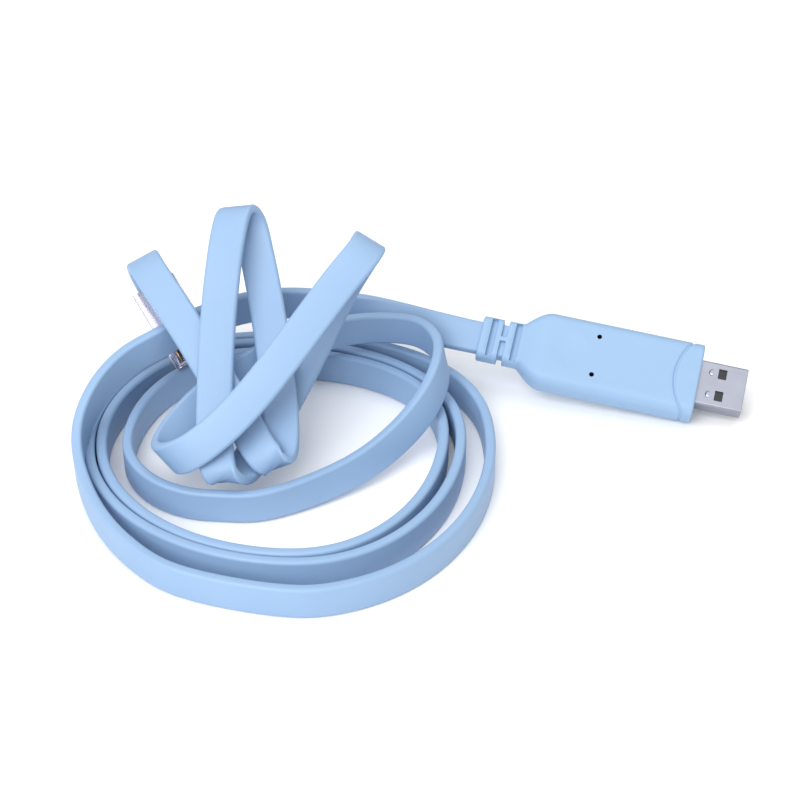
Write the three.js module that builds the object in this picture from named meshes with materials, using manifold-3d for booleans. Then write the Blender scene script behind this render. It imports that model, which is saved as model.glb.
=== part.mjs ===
// A USB to 8P8C console cable: a USB-A plug with a moulded housing and a ribbed
// strain relief, a flat eight-core lead, and a clear modular plug. The lead lies
// as it springs open from its packing: three and a half turns on edge, one turn
// that rises over the others, and a zigzag of standing folds in the middle.
// Millimetres, +Z up. The floor is z = 0, below the middle of the USB plug.

import * as THREE from "three";
import { mergeVertices } from "three/addons/utils/BufferGeometryUtils.js";
import Module from "manifold-3d";

// Flat lead
const LEAD_WIDTH = 8.6;
const LEAD_THICKNESS = 2.6;
const LEAD_CORNER = 0.8;
const LEAD_CLEARANCE = 0.3;

// USB shell, a standard A plug: folded sheet steel
const SHELL_WIDTH = 12.0;
const SHELL_HEIGHT = 4.5;
const SHELL_WALL = 0.3;
const SHELL_CORNER = 0.6;
const SHELL_OUT = 11.8;
const SHELL_IN = 3.0;
const LATCH_HOLE = { along: 2.1, across: 2.7, offset: 3.0, fromTip: 6.2 };

// The plug's insulator and its four contacts
const TONGUE_WIDTH = 10.8;
const TONGUE_THICKNESS = 1.8;
const TONGUE_SETBACK = 0.8;
const TONGUE_BLOCK = 2.4;
const CONTACT_PITCH = [-3.5, -1.0, 1.0, 3.5];
const CONTACT_WIDTH = 1.0;
const CONTACT_LENGTH = 7.4;
const CONTACT_THICKNESS = 0.2;
const CONTACT_GAP = 0.05;

// Housing, moulded in one with its strain relief
const HOUSING_LENGTH = 45.6;
const HOUSING_WIDTH = 19.7;
const HOUSING_HEIGHT = 9.0;
const HOUSING_EDGE = 2.4;
const SHOULDER_LENGTH = 7.0;
const POCKET_CLEARANCE = 0.3;
const RELIEF_LENGTH = 10.6;
const RELIEF_WIDTH = 11.6;
const RELIEF_HEIGHT = 5.7;
const RELIEF_EDGE = 2.0;
const FACE_SLOT = { width: 1.45, depth: 1.6, edge: 0.6, places: [3.1, 9.35] };
const NOTCH = { from: 5.3, width: 1.4, coreWidth: 8.8, coreHeight: 3.6, web: 1.1 };
const LIGHT_HOLE = { radius: 0.62, depth: 1.6, fromNose: 26.5, offset: 5.25 };
const THUMB_DISH = { fromNose: 33.2, length: 9.6, width: 9.4, depth: 0.3 };
const NOSE_GROOVE = { atEdge: 2.7, atMiddle: 6.2, width: 1.0, depth: 0.3 };

// Modular plug, 8P8C
const PLUG_LENGTH = 21.5;
const PLUG_WIDTH = 11.7;
const PLUG_HEIGHT = 6.5;
const PLUG_EDGE = 0.5;
const THROAT_LENGTH = 11.0;
const JACKET_IN = 10.0;
const WIRE_PITCH = 1.02;
const WIRE_DIAMETER = 0.9;
const WIRE_BAY_HEIGHT = 1.3;
const WIRE_FRONT = 1.6;
const BLADE = { length: 5.6, thickness: 0.35, slot: 0.55, fromFront: 1.2, recess: 0.5 };
const LATCH = { length: 15.0, width: 6.2, tabWidth: 3.3, thickness: 1.1, root: 2.4, rise: 3.4, tabFrom: 8.5 };

// Where the two plugs lie: place of the reference point, then turns in degrees
const USB_AT = [21.6, -4.07, 7.93];
const USB_TURN = { roll: 30.3, pitch: 5.9, yaw: -12.2 };
const PLUG_AT = [-115.9, 12.7, 26.7];
const PLUG_TURN = { roll: 33.6, pitch: 42.4, yaw: -45.5 };

// The lead's route. On each row are a point of its middle line and the direction
// of its width there. The turns that lie on edge are made by a loop from their
// farthest, leftmost, nearest and rightmost points. Fullness is how square the corner
// from right to far is, where 2 is an ellipse.
const UPRIGHT = [0, 0, 1];
const FROM_USB = [
  [-43, 10.7, 14.3, 0.1, 0.61, 0.78],
  [-55, 15.6, 14.6, 0.03, 0.62, 0.79],
  [-67.7, 17.9, 16.2, 0, 0, 1],
  [-79.5, 16.4, 18.6, 0, 0, 1],
  [-88.7, 12.4, 20.8, 0, 0, 1],
  [-97.7, 5.2, 23.2, 0, 0, 1],
  [-105.7, -1.7, 24.2, 0, 0, 1],
  [-112.4, -8.4, 24.1, 0, 0, 1],
  [-119.6, -12.9, 22.3, 0, 0, 1],
  [-124.8, -18.3, 19.8, 0, 0, 1],
  [-128.1, -23.2, 16.6, 0, 0, 1],
  [-130.2, -28.8, 13, 0, 0, 1],
  [-130.2, -35.5, 10.1, 0, 0, 1],
  [-127.8, -43.7, 7.7, 0, 0, 1],
  [-123, -53.3, 5.9, 0, 0, 1],
  [-115.7, -62.7, 4.9, 0, 0, 1],
  [-104.9, -71.3, 4.4, 0, 0, 1],
];
const TURNS = [
  { near: [-76.5, -78.6], right: [-31.5, -26.4], far: [-89.5, 17.1], fullness: 2.4 },
  { left: [-129.1, -24], near: [-76.5, -69.7], right: [-38.6, -23.4], far: [-89.5, 14.2], fullness: 2.1 },
  { left: [-126.2, -23.4], near: [-77.5, -66.7], right: [-42.8, -21.9], far: [-89.5, 10.1], fullness: 2.2 },
  { left: [-119.9, -24.8], near: [-96.5, -46.4] },
];
const POINTS_PER_QUARTER = 3;
const RISING_TURN = [
  [-86, -46.5, 4.6, 0, 0, 1],
  [-65.5, -36.2, 5.8, -0.1, 0.15, 0.98],
  [-54.5, -27.4, 8.9, -0.24, 0.14, 0.96],
  [-47, -19.2, 13.6, -0.33, 0.09, 0.94],
  [-43.5, -9.8, 16.7, -0.29, 0, 0.96],
  [-44, -0.2, 16.4, -0.1, 0, 1],
  [-49, 8, 15.6, 0, 0, 1],
  [-57.5, 10.4, 15.1, 0, 0, 1],
  [-67.4, 8.1, 15.8, 0, 0, 1],
  [-78.8, 0.2, 17.3, 0, 0.1, 1],
  [-89.9, -12.8, 19.8, -0.45, 0.29, 0.84],
  [-100.4, -20.2, 15.9, -0.58, 0.33, 0.75],
];
const STANDING_FOLDS = [
  [-107.5, -30.2, 12.9, -0.68, 0.45, 0.58],
  [-108.8, -38.9, 13, -0.68, 0.45, 0.58],
  [-103.8, -43.5, 17.3, -0.72, 0.43, 0.55],
  [-97.5, -41.6, 21.1, -0.75, 0.4, 0.52],
  [-88.4, -35.4, 27.7, -0.79, 0.38, 0.49],
  [-67.2, -13.1, 46.2, -0.82, 0.35, 0.45],
  [-61.4, -6.1, 50.2, -0.85, 0.33, 0.42],
  [-60.9, -1.7, 49.1, -0.86, 0.32, 0.41],
  [-62.3, -0.5, 45.3, -0.87, 0.31, 0.39],
  [-67.3, -3.2, 37.6, -0.87, 0.3, 0.38],
  [-76.1, -12.5, 22.5, -0.89, 0.28, 0.36],
  [-82.4, -21.8, 14.3, -0.91, 0.26, 0.33],
  [-87.7, -32.8, 10.5, -0.94, 0.21, 0.27],
  [-91.9, -42.1, 10, -0.98, 0.13, 0.16],
  [-95.3, -45.5, 12.7, -1, 0.04, 0.05],
  [-96.8, -40.6, 15.9, -1, 0, 0],
  [-97.4, -23.5, 27, -1, -0.01, -0.01],
  [-97, -8.1, 36.5, -1, -0.01, -0.01],
  [-95.3, 6.8, 46.7, -1, -0.01, -0.01],
  [-93.9, 13, 48.9, -1, -0.01, -0.01],
  [-91.4, 14.4, 45.6, -1, -0.04, -0.05],
  [-89, 8.7, 38.7, -0.99, -0.08, -0.1],
  [-86, -3.2, 29.9, -0.99, -0.09, -0.11],
  [-83.4, -18.3, 22.5, -0.99, -0.09, -0.11],
  [-81.7, -33, 15.5, -0.98, -0.11, -0.14],
  [-82.5, -40.9, 12.4, -0.97, -0.16, -0.2],
  [-85.4, -40.2, 14.4, -0.91, -0.26, -0.33],
  [-89.8, -33.2, 17.1, -0.87, -0.31, -0.39],
  [-102.7, -14.5, 28.4, -0.86, -0.32, -0.41],
  [-115.9, 5.6, 36.7, -0.87, -0.3, -0.38],
  [-117.5, 10.1, 36, -0.87, -0.3, -0.38],
  [-117.8, 13.3, 31.1, -0.87, -0.3, -0.38],
];

const wasm = await Module();
wasm.setup();

// Solids: closed three.js geometry to manifold and back
function solid(geometry) {
  const bare = geometry.clone();
  bare.deleteAttribute("normal");
  bare.deleteAttribute("uv");
  const merged = mergeVertices(bare, 1e-4);
  return new wasm.Manifold(new wasm.Mesh({
    numProp: 3,
    vertProperties: new Float32Array(merged.attributes.position.array),
    triVerts: new Uint32Array(merged.index.array),
  }));
}

function geometryOf(body) {
  const mesh = body.getMesh();
  const geometry = new THREE.BufferGeometry();
  geometry.setAttribute("position", new THREE.BufferAttribute(mesh.vertProperties, 3));
  geometry.setIndex(new THREE.BufferAttribute(mesh.triVerts, 1));
  return geometry;
}

function box(from, to) {
  const size = from.map((low, k) => to[k] - low);
  const geometry = new THREE.BoxGeometry(...size);
  geometry.translate(...from.map((low, k) => low + size[k] / 2));
  return solid(geometry);
}

// A rectangle with round corners in the plane across the length
function roundedRectangle(width, height, radius, ShapeClass = THREE.Shape) {
  const a = width / 2;
  const b = height / 2;
  const shape = new ShapeClass();
  shape.moveTo(a, -b + radius);
  shape.lineTo(a, b - radius);
  shape.absarc(a - radius, b - radius, radius, 0, Math.PI / 2, false);
  shape.lineTo(-a + radius, b);
  shape.absarc(-a + radius, b - radius, radius, Math.PI / 2, Math.PI, false);
  shape.lineTo(-a, -b + radius);
  shape.absarc(-a + radius, -b + radius, radius, Math.PI, 1.5 * Math.PI, false);
  shape.lineTo(a - radius, -b);
  shape.absarc(a - radius, -b + radius, radius, 1.5 * Math.PI, 2 * Math.PI, false);
  return shape;
}

// Extrudes a section along +X: the section's x lies across (y), its y is up (z)
function alongX(shape, from, to, steps = 1, curveSegments = 3) {
  const geometry = new THREE.ExtrudeGeometry(shape, {
    depth: to - from, steps, curveSegments, bevelEnabled: false,
  });
  const turn = new THREE.Matrix4().makeBasis(
    new THREE.Vector3(0, 1, 0), new THREE.Vector3(0, 0, 1), new THREE.Vector3(1, 0, 0),
  );
  geometry.applyMatrix4(turn);
  geometry.translate(from, 0, 0);
  return geometry;
}

// USB plug, local frame: +X to the tip, y across, +Z the face with the light holes.
// x = 0 is the housing's nose.
function housing() {
  const tail = -HOUSING_LENGTH;
  const steps = 16;
  const body = alongX(
    roundedRectangle(HOUSING_WIDTH, HOUSING_HEIGHT, HOUSING_EDGE), tail, 0, steps,
  );
  shapeShoulders(body, tail, steps);
  const relief = alongX(
    roundedRectangle(RELIEF_WIDTH, RELIEF_HEIGHT, RELIEF_EDGE), tail - RELIEF_LENGTH, tail + 1,
  );
  let moulding = solid(body).add(solid(relief));
  for (const cut of [...reliefCuts(tail), ...faceCuts()]) {
    moulding = moulding.subtract(cut);
  }
  return geometryOf(moulding);
}

// Moves the housing's rings so that the shoulder is a quarter sine wave in plan
function shapeShoulders(geometry, tail, steps) {
  const position = geometry.attributes.position;
  const ringLength = HOUSING_LENGTH / steps;
  const shoulderRings = 8;
  for (let i = 0; i < position.count; i++) {
    const ring = Math.round((position.getX(i) - tail) / ringLength);
    const t = Math.min(1, ring / shoulderRings);
    const x = ring <= shoulderRings
      ? tail + SHOULDER_LENGTH * t
      : tail + SHOULDER_LENGTH
        + ((HOUSING_LENGTH - SHOULDER_LENGTH) * (ring - shoulderRings)) / (steps - shoulderRings);
    const grown = Math.sin((t * Math.PI) / 2);
    position.setX(i, x);
    position.setY(i, position.getY(i) * mix(RELIEF_WIDTH / HOUSING_WIDTH, 1, grown));
    position.setZ(i, position.getZ(i) * mix(RELIEF_HEIGHT / HOUSING_HEIGHT, 1, grown));
  }
}

function mix(a, b, t) {
  return a + (b - a) * t;
}

// The flexing slots: two pockets in each face, and a notch all round between them
function reliefCuts(tail) {
  const start = tail - RELIEF_LENGTH;
  const half = RELIEF_HEIGHT / 2;
  const cuts = [];
  for (const side of [-1, 1]) {
    for (const place of FACE_SLOT.places) {
      const y = RELIEF_WIDTH / 2 - FACE_SLOT.edge;
      const z = [side * (half - FACE_SLOT.depth), side * (half + 2)].sort((a, b) => a - b);
      cuts.push(box(
        [start + place - FACE_SLOT.width / 2, -y, z[0]],
        [start + place + FACE_SLOT.width / 2, y, z[1]],
      ));
    }
  }
  const from = start + NOTCH.from;
  const to = from + NOTCH.width;
  let ring = box([from, -RELIEF_WIDTH, -RELIEF_HEIGHT], [to, RELIEF_WIDTH, RELIEF_HEIGHT]);
  const core = box(
    [from - 1, -NOTCH.coreWidth / 2, -NOTCH.coreHeight / 2],
    [to + 1, NOTCH.coreWidth / 2, NOTCH.coreHeight / 2],
  );
  const web = box([from - 1, -NOTCH.web / 2, -half], [to + 1, NOTCH.web / 2, half]);
  ring = ring.subtract(core).subtract(web);
  return [...cuts, ring];
}

// Light holes, thumb dish, nose groove and the pocket that takes the shell
function faceCuts() {
  const top = HOUSING_HEIGHT / 2;
  const cuts = [];
  for (const side of [-1, 1]) {
    const hole = new THREE.CylinderGeometry(
      LIGHT_HOLE.radius, LIGHT_HOLE.radius, 2 * LIGHT_HOLE.depth, 12,
    );
    hole.rotateX(Math.PI / 2);
    hole.translate(-LIGHT_HOLE.fromNose, side * LIGHT_HOLE.offset, top);
    cuts.push(solid(hole));
    cuts.push(nose(side));
  }
  const dish = new THREE.SphereGeometry(1, 24, 12);
  dish.rotateX(Math.PI / 2);
  const cap = 0.5;
  const reach = Math.sqrt(1 - (1 - cap) ** 2);
  dish.scale(
    THUMB_DISH.length / 2 / reach, THUMB_DISH.width / 2 / reach, THUMB_DISH.depth / cap,
  );
  dish.translate(-THUMB_DISH.fromNose, 0, top + (THUMB_DISH.depth / cap) * (1 - cap));
  cuts.push(solid(dish));
  const pocket = alongX(roundedRectangle(
    SHELL_WIDTH + 2 * POCKET_CLEARANCE, SHELL_HEIGHT + 2 * POCKET_CLEARANCE, SHELL_CORNER,
  ), -SHELL_IN - POCKET_CLEARANCE, 1);
  cuts.push(solid(pocket));
  return cuts;
}

// The curved groove across the face (side 1) or the back (side -1)
function nose(side) {
  const sagitta = NOSE_GROOVE.atMiddle - NOSE_GROOVE.atEdge;
  const half = HOUSING_WIDTH / 2;
  const radius = (half ** 2 + sagitta ** 2) / (2 * sagitta);
  const reach = Math.asin(half / radius) * 1.15;
  const arc = new THREE.Shape();
  arc.absarc(0, 0, radius + NOSE_GROOVE.width / 2, Math.PI - reach, Math.PI + reach, false);
  arc.absarc(0, 0, radius - NOSE_GROOVE.width / 2, Math.PI + reach, Math.PI - reach, true);
  const wall = new THREE.ExtrudeGeometry(arc, {
    depth: 2 * NOSE_GROOVE.depth, curveSegments: 16, bevelEnabled: false,
  });
  const z = side > 0 ? HOUSING_HEIGHT / 2 - NOSE_GROOVE.depth
    : -HOUSING_HEIGHT / 2 - NOSE_GROOVE.depth;
  wall.translate(radius - NOSE_GROOVE.atMiddle, 0, z);
  return solid(wall);
}

function shell() {
  const outline = roundedRectangle(SHELL_WIDTH, SHELL_HEIGHT, SHELL_CORNER);
  outline.holes.push(roundedRectangle(
    SHELL_WIDTH - 2 * SHELL_WALL, SHELL_HEIGHT - 2 * SHELL_WALL,
    SHELL_CORNER - SHELL_WALL, THREE.Path,
  ));
  let tube = solid(alongX(outline, -SHELL_IN, SHELL_OUT));
  const end = SHELL_OUT - LATCH_HOLE.fromTip + LATCH_HOLE.along / 2;
  for (const side of [-1, 1]) {
    const middle = side * LATCH_HOLE.offset;
    tube = tube.subtract(box(
      [end - LATCH_HOLE.along, middle - LATCH_HOLE.across / 2, -SHELL_HEIGHT],
      [end, middle + LATCH_HOLE.across / 2, SHELL_HEIGHT],
    ));
  }
  return geometryOf(tube);
}

// Insulator: a block that closes the shell's root, and the tongue with the contacts
function tongue() {
  const inside = SHELL_HEIGHT / 2 - SHELL_WALL - CONTACT_GAP;
  const wide = SHELL_WIDTH / 2 - SHELL_WALL - LEAD_CLEARANCE;
  const root = box([-SHELL_IN, -wide, -inside], [-SHELL_IN + TONGUE_BLOCK, wide, inside]);
  const bar = box(
    [-SHELL_IN, -TONGUE_WIDTH / 2, inside - TONGUE_THICKNESS],
    [SHELL_OUT - TONGUE_SETBACK, TONGUE_WIDTH / 2, inside],
  );
  return geometryOf(root.add(bar));
}

function contact(y) {
  const face = SHELL_HEIGHT / 2 - SHELL_WALL - CONTACT_GAP - TONGUE_THICKNESS - CONTACT_GAP;
  const tip = SHELL_OUT - TONGUE_SETBACK - 0.6;
  return geometryOf(box(
    [tip - CONTACT_LENGTH, y - CONTACT_WIDTH / 2, face - CONTACT_THICKNESS],
    [tip, y + CONTACT_WIDTH / 2, face],
  ));
}

// Modular plug, local frame: +X from the lead to the front, y across, +Z the face
// with the contacts. x = 0 is the rear opening.
function plugBody() {
  const bottom = -PLUG_HEIGHT / 2;
  const throatWidth = LEAD_WIDTH + 2 * LEAD_CLEARANCE;
  const throatHeight = LEAD_THICKNESS + 2 * LEAD_CLEARANCE;
  let body = solid(alongX(roundedRectangle(PLUG_WIDTH, PLUG_HEIGHT, PLUG_EDGE), 0, PLUG_LENGTH));
  body = body.subtract(box(
    [-1, -throatWidth / 2, -throatHeight / 2], [THROAT_LENGTH, throatWidth / 2, throatHeight / 2],
  ));
  const bay = 8 * WIRE_PITCH + LEAD_CLEARANCE;
  body = body.subtract(box(
    [THROAT_LENGTH - 1, -bay / 2, -WIRE_BAY_HEIGHT / 2],
    [PLUG_LENGTH - WIRE_FRONT, bay / 2, WIRE_BAY_HEIGHT / 2],
  ));
  const slotEnd = PLUG_LENGTH - BLADE.fromFront + LEAD_CLEARANCE;
  for (let k = 0; k < 8; k++) {
    const y = coreOffset(k);
    body = body.subtract(box(
      [slotEnd - BLADE.length - 2 * LEAD_CLEARANCE, y - BLADE.slot / 2, 0],
      [slotEnd, y + BLADE.slot / 2, PLUG_HEIGHT],
    ));
  }
  return geometryOf(body.add(latch(bottom)));
}

// The springy latch: it leaves the front edge and rises towards the lead
function latch(bottom) {
  const front = PLUG_LENGTH;
  const back = front - LATCH.length;
  const side = new THREE.Shape();
  side.moveTo(front, bottom + 0.6);
  side.lineTo(front - LATCH.root, bottom + 0.6);
  side.lineTo(back, bottom - LATCH.rise + LATCH.thickness);
  side.lineTo(back, bottom - LATCH.rise);
  side.lineTo(front - LATCH.root, bottom - LATCH.thickness);
  side.lineTo(front, bottom - 0.4);
  const arm = new THREE.ExtrudeGeometry(side, { depth: LATCH.width, bevelEnabled: false });
  arm.applyMatrix4(new THREE.Matrix4().makeBasis(
    new THREE.Vector3(1, 0, 0), new THREE.Vector3(0, 0, 1), new THREE.Vector3(0, -1, 0),
  ));
  arm.translate(0, LATCH.width / 2, 0);
  let body = solid(arm);
  for (const edge of [-1, 1]) {
    const y = [edge * (LATCH.tabWidth / 2), edge * LATCH.width].sort((a, b) => a - b);
    body = body.subtract(box(
      [back - 1, y[0], bottom - PLUG_HEIGHT], [front - LATCH.tabFrom, y[1], bottom + 0.3],
    ));
  }
  return body;
}

function coreOffset(k) {
  return (k - 3.5) * WIRE_PITCH;
}

function blade(k) {
  const y = coreOffset(k);
  const front = PLUG_LENGTH - BLADE.fromFront;
  return geometryOf(box(
    [front - BLADE.length, y - BLADE.thickness / 2, WIRE_DIAMETER / 2 + CONTACT_GAP],
    [front, y + BLADE.thickness / 2, PLUG_HEIGHT / 2 - BLADE.recess],
  ));
}

function core(k) {
  const length = PLUG_LENGTH - WIRE_FRONT - LEAD_CLEARANCE - JACKET_IN - LEAD_CLEARANCE;
  const rod = new THREE.CylinderGeometry(WIRE_DIAMETER / 2, WIRE_DIAMETER / 2, length, 10);
  rod.rotateZ(Math.PI / 2);
  rod.translate(JACKET_IN + LEAD_CLEARANCE + length / 2, coreOffset(k), 0);
  return geometryOf(solid(rod));
}

// Places of the two plugs
function pose(at, turn) {
  const angles = new THREE.Euler(
    THREE.MathUtils.degToRad(turn.roll), THREE.MathUtils.degToRad(turn.pitch),
    THREE.MathUtils.degToRad(turn.yaw), "ZYX",
  );
  return new THREE.Matrix4().makeRotationFromEuler(angles).setPosition(...at);
}

const usbPose = pose(USB_AT, USB_TURN);
const plugPose = pose(PLUG_AT, PLUG_TURN);

function rowOn(matrix, x, side) {
  const at = new THREE.Vector3(x, 0, 0).applyMatrix4(matrix);
  const across = new THREE.Vector3(0, side, 0).transformDirection(matrix);
  return { at, across };
}

function rowFrom([x, y, z, ax, ay, az]) {
  return { at: new THREE.Vector3(x, y, z), across: new THREE.Vector3(ax, ay, az) };
}

// A quarter of a turn on edge between two of its outermost points, the last left out
function quarterTurn(from, to, alongFirst, fullness = 2) {
  const rows = [];
  for (let k = 0; k < POINTS_PER_QUARTER; k++) {
    const angle = ((Math.PI / 2) * k) / POINTS_PER_QUARTER;
    const rise = Math.sin(angle) ** (2 / fullness);
    const fall = Math.cos(angle) ** (2 / fullness);
    const x = alongFirst ? from[0] + (to[0] - from[0]) * rise : to[0] + (from[0] - to[0]) * fall;
    const y = alongFirst ? to[1] + (from[1] - to[1]) * fall : from[1] + (to[1] - from[1]) * rise;
    rows.push(rowFrom([x, y, LEAD_WIDTH / 2, ...UPRIGHT]));
  }
  return rows;
}

function route() {
  const usbEnd = -HOUSING_LENGTH - RELIEF_LENGTH - LEAD_CLEARANCE;
  const rows = [rowOn(usbPose, usbEnd, 1), rowOn(usbPose, usbEnd - 5.5, 1)];
  rows.push(...FROM_USB.map(rowFrom));
  TURNS.forEach((turn, i) => {
    if (turn.left) {
      rows.push(...quarterTurn(TURNS[i - 1].far, turn.left, true));
      rows.push(...quarterTurn(turn.left, turn.near, false));
    }
    if (turn.right) {
      rows.push(...quarterTurn(turn.near, turn.right, true));
      rows.push(...quarterTurn(turn.right, turn.far, false, turn.fullness));
    }
  });
  const last = TURNS[TURNS.length - 1].near;
  rows.push(rowFrom([...last, LEAD_WIDTH / 2, ...UPRIGHT]));
  rows.push(...RISING_TURN.map(rowFrom), ...STANDING_FOLDS.map(rowFrom));
  rows.push(rowOn(plugPose, 0, -1), rowOn(plugPose, JACKET_IN, -1));
  return rows;
}

// The lead: a straight bar with flattened corners, its rings moved to the route
function lead() {
  const rows = route();
  const a = LEAD_WIDTH / 2;
  const b = LEAD_THICKNESS / 2;
  const section = new THREE.Shape();
  section.moveTo(a, -b + LEAD_CORNER);
  for (const [x, y] of [
    [a, b - LEAD_CORNER], [a - LEAD_CORNER, b], [-a + LEAD_CORNER, b], [-a, b - LEAD_CORNER],
    [-a, -b + LEAD_CORNER], [-a + LEAD_CORNER, -b], [a - LEAD_CORNER, -b],
  ]) section.lineTo(x, y);
  const bar = new THREE.ExtrudeGeometry(section, {
    depth: rows.length - 1, steps: rows.length - 1, bevelEnabled: false,
  });
  const position = bar.attributes.position;
  const frames = rows.map((row, i) => frameAt(rows, i));
  const point = new THREE.Vector3();
  for (let i = 0; i < position.count; i++) {
    const frame = frames[Math.round(position.getZ(i))];
    point.copy(frame.at)
      .addScaledVector(frame.across, position.getX(i))
      .addScaledVector(frame.normal, position.getY(i));
    position.setXYZ(i, point.x, point.y, point.z);
  }
  return bar;
}

function frameAt(rows, i) {
  const before = rows[Math.max(0, i - 1)].at;
  const after = rows[Math.min(rows.length - 1, i + 1)].at;
  const along = after.clone().sub(before).normalize();
  const across = rows[i].across.clone().addScaledVector(along, -rows[i].across.dot(along)).normalize();
  const normal = along.clone().cross(across);
  return { at: rows[i].at, across, normal };
}

// Materials
const SOFT_BLUE = { color: 0xa9c8ee, roughness: 0.55, metalness: 0 };
const STEEL = { color: 0xb9bcc6, roughness: 0.32, metalness: 1 };
const BLACK = { color: 0x1c1e22, roughness: 0.5, metalness: 0 };
const GOLD = { color: 0xd8b46a, roughness: 0.25, metalness: 1 };
const CLEAR = { color: 0xe8e6f2, roughness: 0.1, metalness: 0, transparent: true, opacity: 0.4 };
const CORE_COLOURS = [
  0x8a8d92, 0x8f5a2c, 0xd9b21e, 0x2f8a3a, 0xb5262b, 0x17181a, 0xd8711f, 0x1d4fa0,
];

function mesh(name, geometry, finish) {
  const piece = new THREE.Mesh(geometry, new THREE.MeshStandardMaterial(finish));
  piece.name = name;
  return piece;
}

const usb = new THREE.Group();
usb.applyMatrix4(usbPose);
usb.add(mesh("usb_overmould", housing(), SOFT_BLUE));
usb.add(mesh("usb_shell", shell(), STEEL));
usb.add(mesh("usb_tongue", tongue(), BLACK));
CONTACT_PITCH.forEach((y, i) => usb.add(mesh(`usb_contact_${i + 1}`, contact(y), GOLD)));

const modular = new THREE.Group();
modular.applyMatrix4(plugPose);
modular.add(mesh("rj45_body", plugBody(), CLEAR));
for (let k = 0; k < 8; k++) {
  modular.add(mesh(`rj45_contact_${k + 1}`, blade(k), GOLD));
  modular.add(mesh(`rj45_core_${k + 1}`, core(k), { ...SOFT_BLUE, color: CORE_COLOURS[k] }));
}

const cable = new THREE.Group();
cable.add(usb, modular, mesh("flat_cable", lead(), SOFT_BLUE));

export default cable;
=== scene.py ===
"""Looks of a flat console cable: a USB plug, a coiled flat lead and a clear modular plug.

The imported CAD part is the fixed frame. Each sub-assembly is a class that builds finer meshes
for its CAD nodes and dresses them. Lengths are in metres, +Z is up and the floor is z = 0.
"""

import logging
import math
from dataclasses import dataclass
from enum import Enum
from typing import Any, Iterable, Optional, Sequence

import bpy
import numpy as np
from bpy.types import ID, Material, Node, NodeSocket, NodeTree, Object
from mathutils import Euler, Matrix, Vector

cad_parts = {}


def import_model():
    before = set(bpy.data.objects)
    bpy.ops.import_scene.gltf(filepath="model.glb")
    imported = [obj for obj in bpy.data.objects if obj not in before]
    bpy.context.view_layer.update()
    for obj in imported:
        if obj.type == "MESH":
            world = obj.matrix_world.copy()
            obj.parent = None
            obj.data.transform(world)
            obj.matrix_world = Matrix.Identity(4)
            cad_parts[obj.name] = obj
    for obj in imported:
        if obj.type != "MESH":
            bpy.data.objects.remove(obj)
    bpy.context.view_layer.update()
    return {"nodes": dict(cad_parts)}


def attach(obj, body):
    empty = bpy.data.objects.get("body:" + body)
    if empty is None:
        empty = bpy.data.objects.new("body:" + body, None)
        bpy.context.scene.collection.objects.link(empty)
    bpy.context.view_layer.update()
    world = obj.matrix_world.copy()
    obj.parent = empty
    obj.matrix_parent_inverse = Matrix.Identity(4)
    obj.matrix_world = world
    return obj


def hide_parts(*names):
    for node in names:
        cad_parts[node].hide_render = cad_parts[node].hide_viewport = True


LOG = logging.getLogger("console_cable")
MM = 0.001
# A row is a point of the lead's middle line and its width's direction. A spot is a place on
# the floor. A size is a half width, a half height and a corner radius.
Row = tuple[float, float, float, float, float, float]
Spot = tuple[float, float]
Size = tuple[float, float, float]


# Colours and nodes


def srgb(hex_code: str, alpha: float = 1.0) -> tuple[float, float, float, float]:
    """Turns an sRGB hex colour to the linear values that Blender uses.

    Args:
        hex_code: Six hex digits with a leading #.
        alpha: The fourth value.

    Returns:
        Linear red, green and blue, and alpha.
    """
    parts = [int(hex_code[i : i + 2], 16) / 255 for i in (1, 3, 5)]
    linear = [c / 12.92 if c <= 0.04045 else ((c + 0.055) / 1.055) ** 2.4 for c in parts]
    return (linear[0], linear[1], linear[2], alpha)


def add_node(
    tree: NodeTree,
    kind: str,
    inputs: Optional[dict[Any, Any]] = None,
    **settings: Any,
) -> Node:
    """Adds a node, with its settings, its unlinked values and its links.

    Args:
        tree: The tree that gets the node.
        kind: Blender's name for the node's type.
        inputs: Values or output sockets by input name or index.
        settings: The node's own properties.

    Returns:
        The new node.
    """
    node = tree.nodes.new(kind)
    for name, value in settings.items():
        setattr(node, name, value)
    for key, value in (inputs or {}).items():
        socket = node.inputs[key]
        if isinstance(value, NodeSocket):
            tree.links.new(value, socket)
        else:
            socket.default_value = value
    return node


# Finishes


@dataclass(frozen=True)
class Grain:
    """A noise pattern in a finish.

    Attributes:
        size: Distance between its lumps, in metres.
        stretch: How the pattern is scaled along x, y and z before the noise.
        height: How far its bump stands out, in metres.
        detail: Octaves of noise.
    """

    size: float
    stretch: tuple[float, float, float] = (1.0, 1.0, 1.0)
    height: float = 0.0
    detail: float = 2.0


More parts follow.
